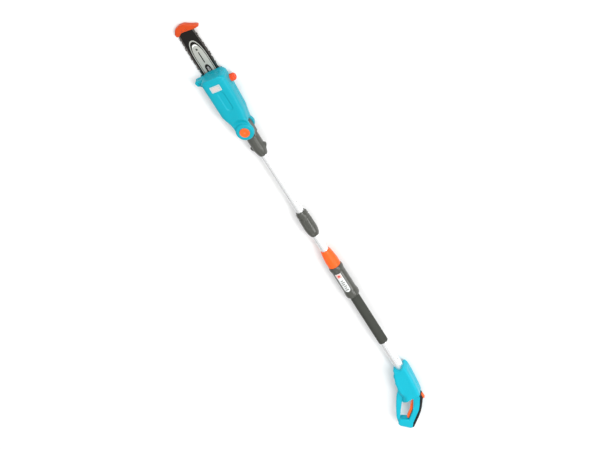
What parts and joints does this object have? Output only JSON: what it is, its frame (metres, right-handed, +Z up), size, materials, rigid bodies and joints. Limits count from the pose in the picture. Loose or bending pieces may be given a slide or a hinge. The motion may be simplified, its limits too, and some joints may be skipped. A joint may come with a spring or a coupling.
{
  "type": "telescoping pole saw",
  "caption": "Electric pole saw with a tilting chain saw head, a telescoping tube pole with a clamp sleeve, a pole grip and a D-shaped switch handle.",
  "frame": {"origin": "middle of the bounding box's underside, where the saw lies on its side on the floor", "axes": "+X along the pole towards the saw head, +Y towards the cutting side of the bar, +Z up, the side with the label and the tilt button"},
  "size_m": [1.6471, 0.1694, 0.077],
  "materials": {
    "teal_housing": "moulded semi-gloss",
    "orange_plastic": "moulded semi-gloss",
    "guard_orange": "moulded satin",
    "dark_grey_plastic": "moulded matt",
    "sleeve_rubber": "ribbed matt",
    "grip_rubber": "soft matt",
    "black_plastic": "moulded",
    "pole_aluminium": "drawn and anodised",
    "zinc_steel": "zinc plated",
    "bar_steel": "black and silver painted",
    "chain_steel": "dark chromed",
    "gear_steel": "cut and oiled",
    "motor_copper": "enamelled winding",
    "motor_iron": "laminated",
    "brush_carbon": "pressed carbon",
    "label_white": "printed film",
    "contact_brass": "plated",
    "tank_plastic": "translucent moulded"
  },
  "bodies": {
    "handle": {"handle_near_shell": "teal_housing", "handle_far_shell": "teal_housing", "handle_grip_pad": "grip_rubber", "handle_screws": "zinc_steel", "trigger_pin": "zinc_steel", "main_switch": "black_plastic", "mains_inlet": "black_plastic", "inlet_pins": "contact_brass", "outer_tube": "pole_aluminium", "pole_grip": "dark_grey_plastic", "pole_grip_label": "label_white", "sleeve_grip": "sleeve_rubber", "clamp_collet": "black_plastic", "coiled_lead": "black_plastic"},
    "trigger": {"trigger": "orange_plastic"},
    "lockout": {"lockout_button": "orange_plastic"},
    "clamp": {"clamp_sleeve": "orange_plastic"},
    "inner_pole": {"telescopic_tube": "pole_aluminium", "tube_end_bush": "black_plastic", "plug_ring": "black_plastic", "lead_plug": "black_plastic", "lead_socket": "black_plastic", "socket_ring": "black_plastic", "upper_tube": "pole_aluminium", "upper_lead": "black_plastic", "neck_near": "dark_grey_plastic", "neck_far": "dark_grey_plastic", "neck_screws": "zinc_steel"},
    "coupling": {"coupling_nut": "dark_grey_plastic"},
    "head": {"housing_near_shell": "teal_housing", "housing_far_shell": "teal_housing", "housing_screws": "zinc_steel", "housing_label": "label_white", "pivot_pin": "zinc_steel", "pivot_nut": "zinc_steel", "lock_ring": "zinc_steel", "button_spring": "zinc_steel", "sprocket_cover": "teal_housing", "bar_stud": "zinc_steel", "bar_nut": "zinc_steel", "tension_screw": "zinc_steel", "guide_bar": "bar_steel", "saw_chain": "chain_steel", "tip_guard": "guard_orange", "guard_screws": "zinc_steel", "output_bearings": "zinc_steel", "motor_stator": "motor_iron", "motor_bearings": "zinc_steel", "carbon_brushes": "brush_carbon", "oil_tank": "tank_plastic", "oil_pump": "tank_plastic"},
    "tilt_button": {"tilt_button": "orange_plastic"},
    "output": {"chain_sprocket": "gear_steel", "output_shaft": "zinc_steel", "crown_gear": "gear_steel"},
    "rotor": {"motor_rotor": "motor_copper"},
    "oil_cap": {"oil_cap": "orange_plastic"}
  },
  "joints": [
    {"name": "pole_slide", "type": "slide", "parent": "handle", "child": "inner_pole", "axis": [1, 0, 0], "range_m": [0, 0.33]},
    {"name": "clamp_turn", "type": "hinge", "parent": "handle", "child": "clamp", "pos_m": [-0.11275, -0.02625, 0.039], "axis": [1, 0, 0], "range_deg": [0, 90]},
    {"name": "trigger_squeeze", "type": "hinge", "parent": "handle", "child": "trigger", "pos_m": [-0.70175, -0.01325, 0.039], "axis": [0, 0, 1], "range_deg": [0, 4], "stiffness_Nm_per_rad": 1.5, "springref_deg": -5.73},
    {"name": "lockout_press", "type": "slide", "parent": "handle", "child": "lockout", "axis": [0, 1, 0], "range_m": [0, 0.0035], "stiffness_N_per_m": 600, "springref_m": -0.002},
    {"name": "coupling_turn", "type": "hinge", "parent": "inner_pole", "child": "coupling", "pos_m": [0.03725, -0.02625, 0.039], "axis": [1, 0, 0], "range_deg": [0, 270]},
    {"name": "head_tilt", "type": "hinge", "parent": "inner_pole", "child": "head", "pos_m": [0.43025, -0.02625, 0.039], "axis": [0, 0, 1], "range_deg": [-15, 60]},
    {"name": "tilt_button_press", "type": "slide", "parent": "head", "child": "tilt_button", "axis": [0, 0, -1], "range_m": [0, 0.004], "stiffness_N_per_m": 1500, "springref_m": -0.002, "deforming": ["button_spring"]},
    {"name": "sprocket_spin", "type": "hinge", "parent": "head", "child": "output", "pos_m": [0.58525, -0.01375, 0.01], "axis": [0, 0, 1], "continuous": true},
    {"name": "rotor_spin", "type": "hinge", "parent": "head", "child": "rotor", "pos_m": [0.51725, -0.01375, 0.043], "axis": [1, 0, 0], "continuous": true},
    {"name": "oil_cap_turn", "type": "hinge", "parent": "head", "child": "oil_cap", "pos_m": [0.60325, -0.07625, 0.031], "axis": [0, -1, 0], "range_deg": [0, 180]}
  ],
  "couplings": [
    {"joint": "rotor_spin", "follows": "sprocket_spin", "ratio": -4}
  ]
}
